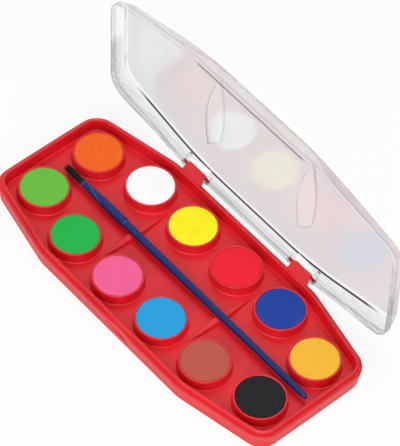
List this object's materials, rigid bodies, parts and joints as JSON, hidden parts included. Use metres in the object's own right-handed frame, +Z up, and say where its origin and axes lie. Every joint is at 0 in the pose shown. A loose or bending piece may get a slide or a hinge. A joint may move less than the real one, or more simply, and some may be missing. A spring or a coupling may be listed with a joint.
{
  "type": "watercolour paint box",
  "caption": "Long six-sided tray with round paint tablets in raised cups, shallow mixing wells, a clear hinged lid and a brush that lies between the rows.",
  "frame": {"origin": "centre of the tray's outline, on the surface that the tray stands on", "axes": "+Z up, +X along the box towards the domed end of the brush's handle, +Y from the finger scoop to the hinge"},
  "size_m": [0.251, 0.1183, 0.1281],
  "materials": {
    "tray_red": "glossy moulded",
    "lid_clear": "clear, polished",
    "paint_light_green": "pressed powder, matt",
    "paint_green": "pressed powder, matt",
    "paint_pink": "pressed powder, matt",
    "paint_light_blue": "pressed powder, matt",
    "paint_brown": "pressed powder, matt",
    "paint_black": "pressed powder, matt",
    "paint_orange": "pressed powder, matt",
    "paint_white": "pressed powder, matt",
    "paint_yellow": "pressed powder, matt",
    "paint_red": "pressed powder, matt",
    "paint_dark_blue": "pressed powder, matt",
    "paint_gold": "pressed powder, matt",
    "brush_blue": "glossy moulded",
    "bristle_black": "fine hair"
  },
  "bodies": {
    "tray": {"tray": "tray_red", "tablet_light_green": "paint_light_green", "tablet_green": "paint_green", "tablet_pink": "paint_pink", "tablet_light_blue": "paint_light_blue", "tablet_brown": "paint_brown", "tablet_black": "paint_black", "tablet_orange": "paint_orange", "tablet_white": "paint_white", "tablet_yellow": "paint_yellow", "tablet_red": "paint_red", "tablet_dark_blue": "paint_dark_blue", "tablet_gold": "paint_gold"},
    "lid": {"lid": "lid_clear"},
    "brush": {"brush_handle": "brush_blue", "brush_ferrule": "brush_blue", "brush_bristles": "bristle_black"}
  },
  "joints": [
    {"name": "lid_hinge", "type": "hinge", "parent": "tray", "child": "lid", "pos_m": [0, 0.0574, 0.016], "axis": [-1, 0, 0], "range_deg": [-87.8, 0]},
    {"name": "brush_lift", "type": "slide", "parent": "tray", "child": "brush", "axis": [0, 0, 1], "range_m": [0, 0.12]}
  ]
}
